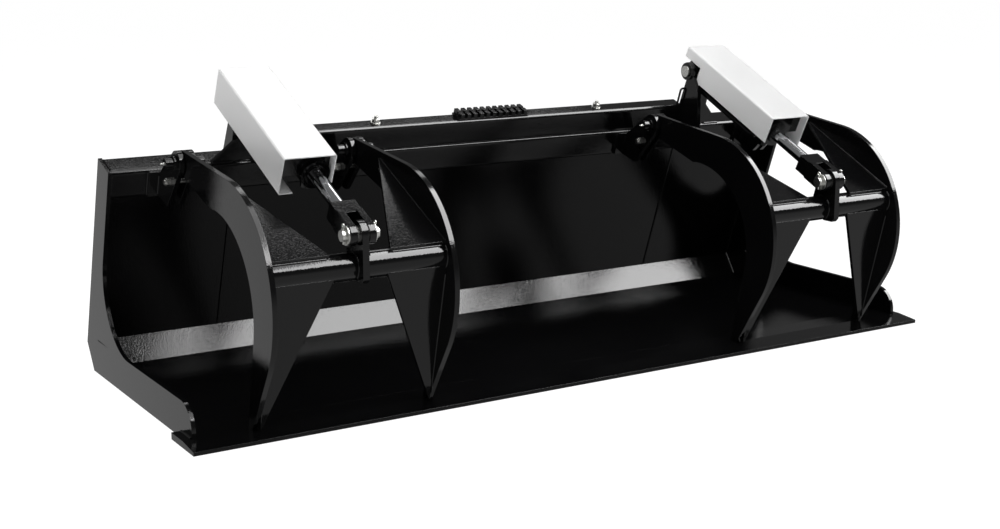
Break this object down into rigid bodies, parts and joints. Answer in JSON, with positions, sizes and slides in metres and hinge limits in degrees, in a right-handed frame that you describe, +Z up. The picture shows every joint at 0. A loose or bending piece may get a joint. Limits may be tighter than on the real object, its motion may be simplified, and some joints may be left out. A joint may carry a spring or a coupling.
{
  "type": "grapple bucket",
  "caption": "Wide low bucket with a cutting edge and a pair of curved grapple arms, each closed on the load by its own covered hydraulic cylinder.",
  "frame": {"origin": "centre of the bounding box's underside, on the ground under the bucket", "axes": "+X along the cutting edge to the right seen from the front of the bucket's mouth looking in, +Y from the cutting edge to the machine, +Z up"},
  "size_m": [2.178, 0.9384, 0.7734],
  "materials": {
    "frame_paint": "gloss black powder coat",
    "shell_paint": "gloss black powder coat",
    "cover_paint": "gloss white",
    "rod_chrome": "hard chrome",
    "zinc_plate": "zinc plated"
  },
  "bodies": {
    "bucket": {"floor_plate": "shell_paint", "heel_plate": "shell_paint", "back_panel_centre": "shell_paint", "back_panel_left": "shell_paint", "back_panel_right": "shell_paint", "side_plate_left": "frame_paint", "side_plate_right": "frame_paint", "cutting_edge": "shell_paint", "top_rail": "frame_paint", "upper_beam": "frame_paint", "serrated_step": "frame_paint", "beam_bolts": "zinc_plate", "hose_guides": "frame_paint", "hinge_pads": "frame_paint", "hinge_brackets_left": "frame_paint", "hinge_brackets_right": "frame_paint", "hinge_pins": "frame_paint", "hinge_collars": "frame_paint", "hinge_tie_bolts": "zinc_plate", "tower_left": "frame_paint", "tower_right": "frame_paint", "tower_pins": "zinc_plate", "attach_plate": "frame_paint", "attach_lip": "frame_paint", "latch_ledge": "frame_paint", "ledge_ribs": "frame_paint"},
    "arm_left": {"tine_outer_left": "frame_paint", "tine_inner_left": "frame_paint", "cross_tube_left": "frame_paint", "rod_lug_left": "frame_paint", "upper_gussets_left": "frame_paint", "lower_gussets_left": "frame_paint", "rod_pin_left": "zinc_plate", "pin_washers_left": "zinc_plate", "rod_cotters_left": "zinc_plate"},
    "rod_body_left": {"rod_left": "rod_chrome", "clevis_left": "frame_paint"},
    "barrel_body_left": {"barrel_left": "frame_paint", "gland_left": "frame_paint", "base_eye_left": "frame_paint", "ports_left": "frame_paint", "cover_left": "cover_paint", "cover_brackets_left": "frame_paint"},
    "arm_right": {"tine_outer_right": "frame_paint", "tine_inner_right": "frame_paint", "cross_tube_right": "frame_paint", "rod_lug_right": "frame_paint", "upper_gussets_right": "frame_paint", "lower_gussets_right": "frame_paint", "rod_pin_right": "zinc_plate", "pin_washers_right": "zinc_plate", "rod_cotters_right": "zinc_plate"},
    "rod_body_right": {"rod_right": "rod_chrome", "clevis_right": "frame_paint"},
    "barrel_body_right": {"barrel_right": "frame_paint", "gland_right": "frame_paint", "base_eye_right": "frame_paint", "ports_right": "frame_paint", "cover_right": "cover_paint", "cover_brackets_right": "frame_paint"}
  },
  "joints": [
    {"name": "arm_hinge_left", "type": "hinge", "parent": "bucket", "child": "arm_left", "pos_m": [-0.699, 0.04075, 0.56701], "axis": [-1, 0, 0], "range_deg": [0, 48]},
    {"name": "rod_pivot_left", "type": "hinge", "parent": "arm_left", "child": "rod_body_left", "pos_m": [-0.699, -0.42525, 0.44901], "axis": [1, 0, 0], "range_deg": [0, 8.7]},
    {"name": "rod_slide_left", "type": "slide", "parent": "rod_body_left", "child": "barrel_body_left", "axis": [0, -0.9058, -0.4237], "range_m": [0, 0.1029]},
    {"name": "arm_hinge_right", "type": "hinge", "parent": "bucket", "child": "arm_right", "pos_m": [0.699, 0.04075, 0.56701], "axis": [-1, 0, 0], "range_deg": [0, 48]},
    {"name": "rod_pivot_right", "type": "hinge", "parent": "arm_right", "child": "rod_body_right", "pos_m": [0.699, -0.42525, 0.44901], "axis": [1, 0, 0], "range_deg": [0, 8.7]},
    {"name": "rod_slide_right", "type": "slide", "parent": "rod_body_right", "child": "barrel_body_right", "axis": [0, -0.9058, -0.4237], "range_m": [0, 0.1029]}
  ],
  "couplings": [
    {"joint": "rod_pivot_left", "follows": "arm_hinge_left", "ratio": 0.16924},
    {"joint": "rod_slide_left", "follows": "arm_hinge_left", "m_per_rad": 0.1204},
    {"joint": "rod_pivot_right", "follows": "arm_hinge_right", "ratio": 0.16924},
    {"joint": "rod_slide_right", "follows": "arm_hinge_right", "m_per_rad": 0.1204}
  ]
}
